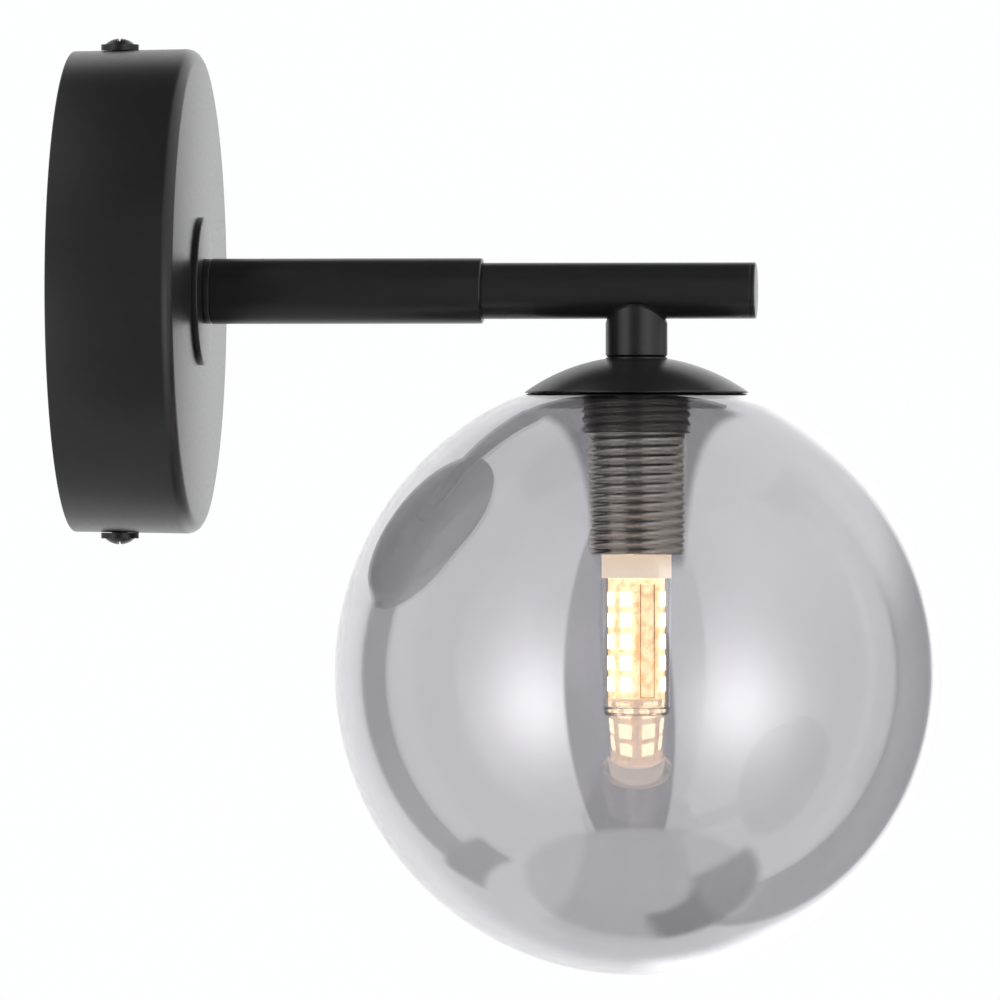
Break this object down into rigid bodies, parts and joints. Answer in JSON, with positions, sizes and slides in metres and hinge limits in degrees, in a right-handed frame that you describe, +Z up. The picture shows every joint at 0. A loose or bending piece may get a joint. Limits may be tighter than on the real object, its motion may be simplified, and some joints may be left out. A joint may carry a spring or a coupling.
{
  "type": "globe wall sconce",
  "caption": "Wall light with a round canopy, a straight stepped arm and a screw-on smoked glass globe round a plug-in LED bulb under a small domed cap.",
  "frame": {"origin": "centre of the canopy's back plane on the wall, which is also the middle of the bracket's two wall slots", "axes": "+X out of the wall along the arm, +Z up, +Y to the left as seen from the wall looking out; symmetric about Y = 0 but for the threads, the inside of the bulb and the terminal block's fixing screw"},
  "size_m": [0.2141, 0.149, 0.2315],
  "materials": {
    "black_coat": "satin black powder coat with a fine, slightly pebbled skin",
    "zinc_steel": "bright zinc plated steel",
    "nickel": "warm satin nickel plate on a rolled thread",
    "brass": "plain turned brass",
    "ceramic": "white glazed steatite",
    "smoked_glass": "blown smoked glass with a thin mirror-like grey tint",
    "bulb_clear": "clear bulb tube",
    "bulb_base": "pale translucent plastic that glows a little from inside",
    "led_board": "white solder-masked board folded into eight faces",
    "led_chip": "lit warm-white phosphor chips",
    "terminal_plastic": "natural polyamide",
    "silicone": "translucent silicone",
    "wire_brown": "brown silicone insulation",
    "wire_blue": "blue silicone insulation",
    "wire_earth": "green and yellow insulation",
    "circuit_board": "green glass-fibre board",
    "capacitor": "black shrink sleeve"
  },
  "bodies": {
    "fixture": {"wall_bracket": "zinc_steel", "bracket_ears": "zinc_steel", "ear_nuts": "zinc_steel", "canopy": "black_coat", "canopy_screws": "black_coat", "terminal_block": "terminal_plastic", "terminal_inserts": "brass", "terminal_screws": "zinc_steel", "block_screw": "zinc_steel", "earth_tag": "brass", "earth_screw": "zinc_steel", "earth_wire": "wire_earth", "live_wire": "wire_brown", "neutral_wire": "wire_blue", "arm_nipple": "zinc_steel", "lock_washer": "zinc_steel", "nipple_nut": "zinc_steel", "arm_flange": "black_coat", "arm_collar": "black_coat", "arm_bush": "brass", "arm_sleeve": "black_coat", "arm_tube": "black_coat", "arm_end_cap": "black_coat", "stem": "black_coat", "shade_cap": "black_coat", "head_nipple": "zinc_steel", "cap_washer": "zinc_steel", "lampholder_shell": "nickel", "lampholder_insulator": "ceramic", "lampholder_contacts": "brass", "holder_screws": "zinc_steel"},
    "neck_ring": {"neck_ring": "silicone"},
    "globe": {"globe_glass": "smoked_glass", "globe_neck": "smoked_glass"},
    "bulb": {"bulb_base": "bulb_base", "bulb_pins": "zinc_steel", "bulb_cover": "bulb_clear", "led_core": "led_board", "led_chips": "led_chip", "driver_board": "circuit_board", "driver_capacitor": "capacitor"}
  },
  "joints": [
    {"name": "globe_drop", "type": "slide", "parent": "fixture", "child": "neck_ring", "axis": [0, 0, -1], "range_m": [0, 0.0392]},
    {"name": "globe_turn", "type": "hinge", "parent": "neck_ring", "child": "globe", "pos_m": [0.1396, 0, -0.0943], "axis": [0, 0, -1], "range_deg": [0, 6120]},
    {"name": "bulb_pull", "type": "slide", "parent": "fixture", "child": "bulb", "axis": [0, 0, -1], "range_m": [0, 0.016]}
  ],
  "couplings": [
    {"joint": "globe_drop", "follows": "globe_turn", "m_per_rad": 0.00036606}
  ]
}
